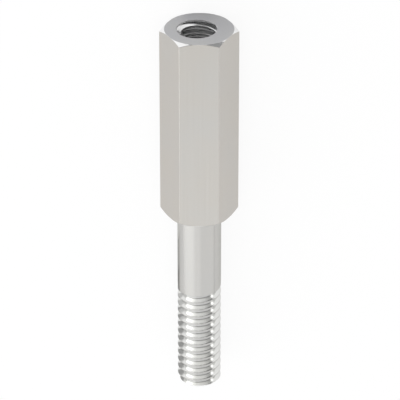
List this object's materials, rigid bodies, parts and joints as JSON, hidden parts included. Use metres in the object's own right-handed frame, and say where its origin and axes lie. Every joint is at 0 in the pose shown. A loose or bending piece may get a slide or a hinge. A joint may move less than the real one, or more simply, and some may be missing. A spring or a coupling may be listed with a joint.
{
  "type": "hex standoff",
  "caption": "Male-female hex standoff: hexagon body with a blind tapped hole in its end face, and a stud with a plain shank and a threaded end on its shoulder.",
  "frame": {"origin": "centre of the shoulder face under the hexagon, on the standoff's axis", "axes": "+X along the axis towards the stud's tip, +Z square to the flat that faces up, with the standoff lying on the opposite flat"},
  "size_m": [0.0382, 0.0074, 0.0064],
  "materials": {
    "metal": "satin, as machined"
  },
  "bodies": {
    "root": {"hex_standoff": "metal"}
  },
  "joints": []
}
